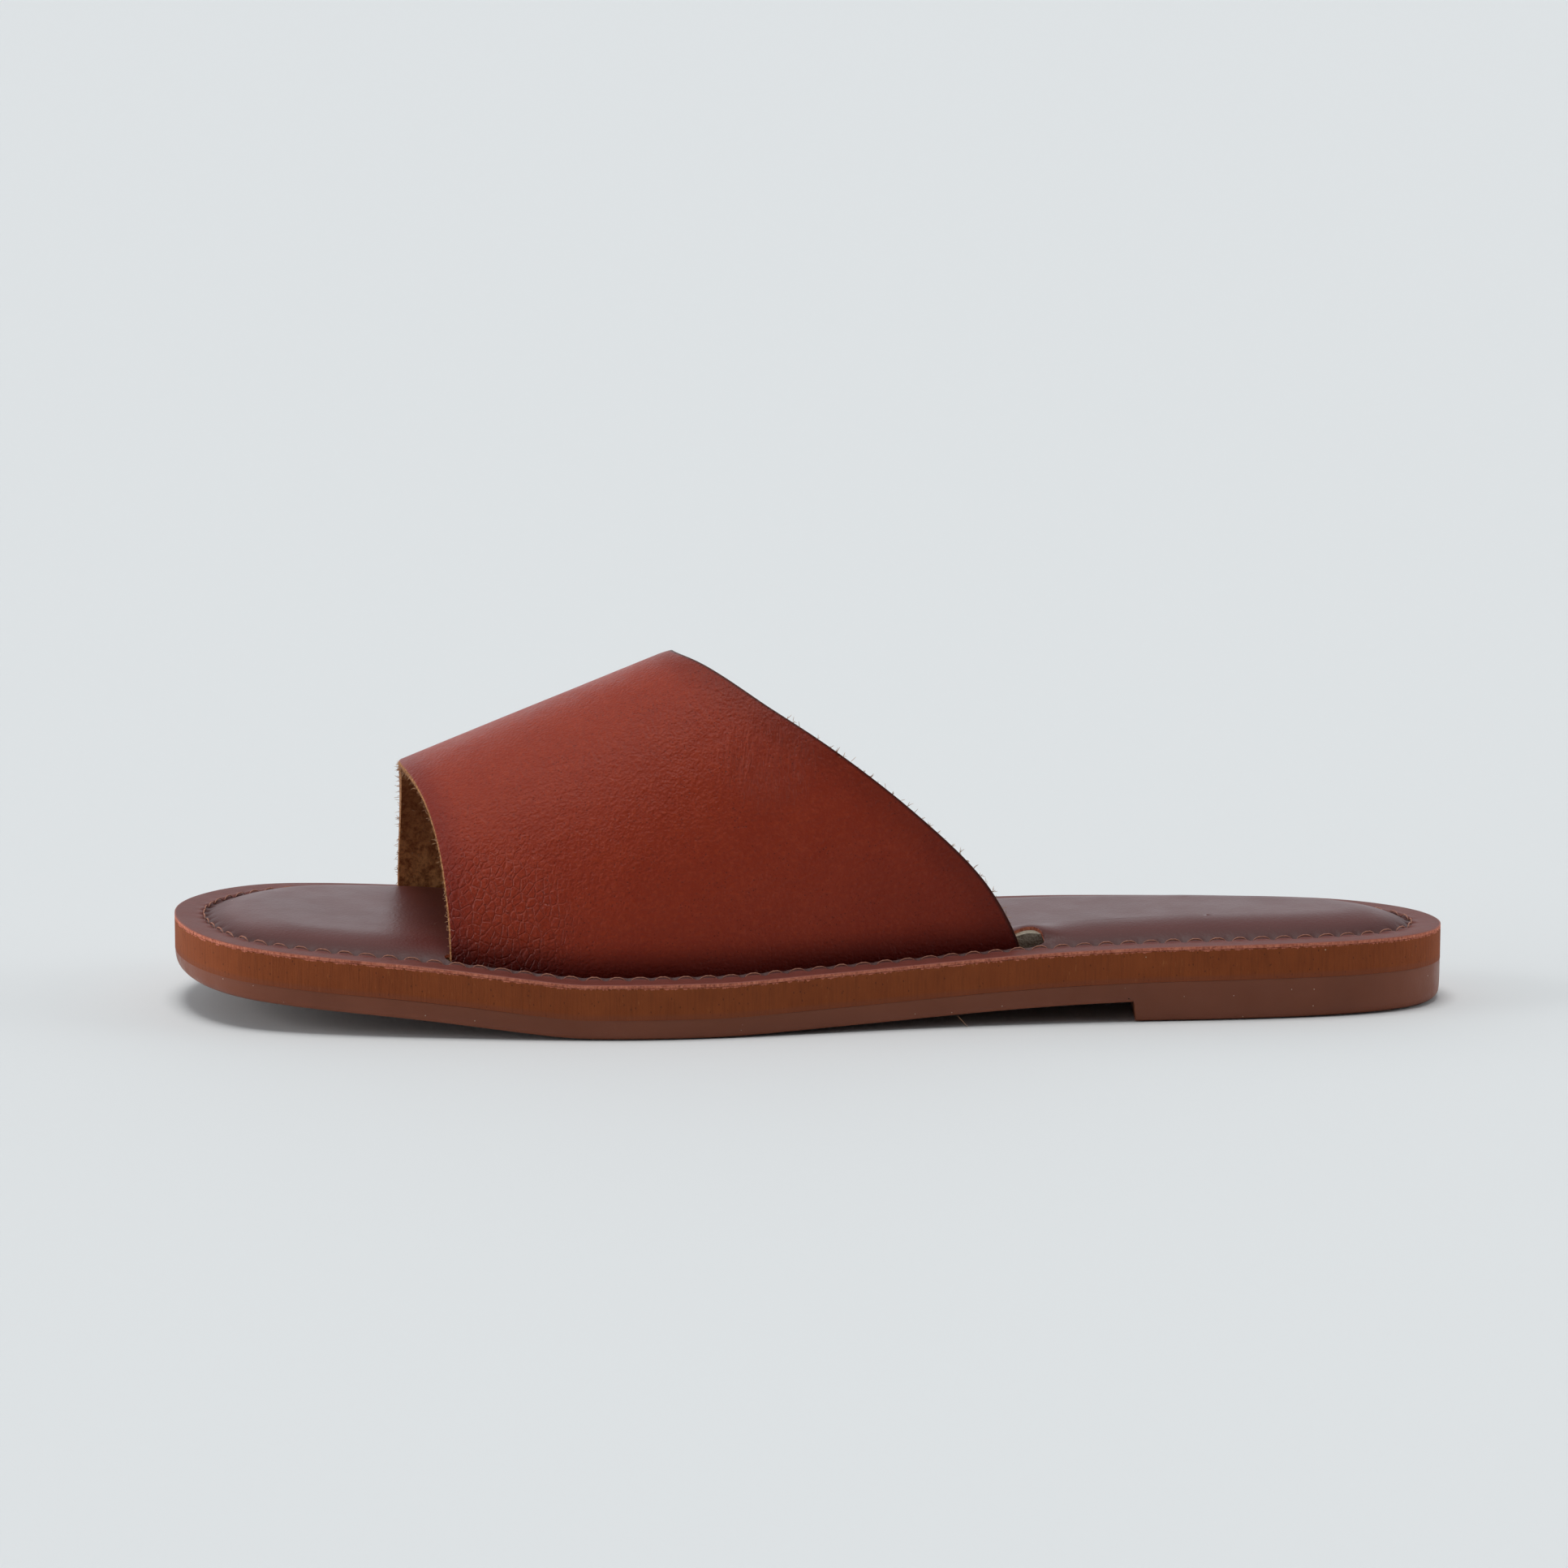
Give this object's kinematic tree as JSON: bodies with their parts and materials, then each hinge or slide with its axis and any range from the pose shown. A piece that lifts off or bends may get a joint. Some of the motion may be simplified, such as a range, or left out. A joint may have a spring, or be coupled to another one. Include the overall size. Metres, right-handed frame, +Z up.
{
  "type": "slide sandal",
  "caption": "Flat leather slide sandal for the left foot: one wide open-toe strap slotted into a padded footbed on a thin layered sole with a low heel.",
  "frame": {"origin": "on the floor, under the middle of the sole's bounding box", "axes": "+X along the sole from the toe to the heel, +Y to the inner side of the foot, +Z up"},
  "size_m": [0.256, 0.09, 0.0706],
  "materials": {
    "outsole": "satin brown moulded rubber",
    "midsole": "tan fibre board with a filed edge",
    "footbed_pad": "grey beige foam",
    "insole": "smooth dark brown leather",
    "upper": "russet leather, suede inside"
  },
  "bodies": {
    "root": {"outsole": "outsole", "midsole": "midsole", "footbed_pad": "footbed_pad", "insole": "insole", "upper": "upper"}
  },
  "joints": []
}
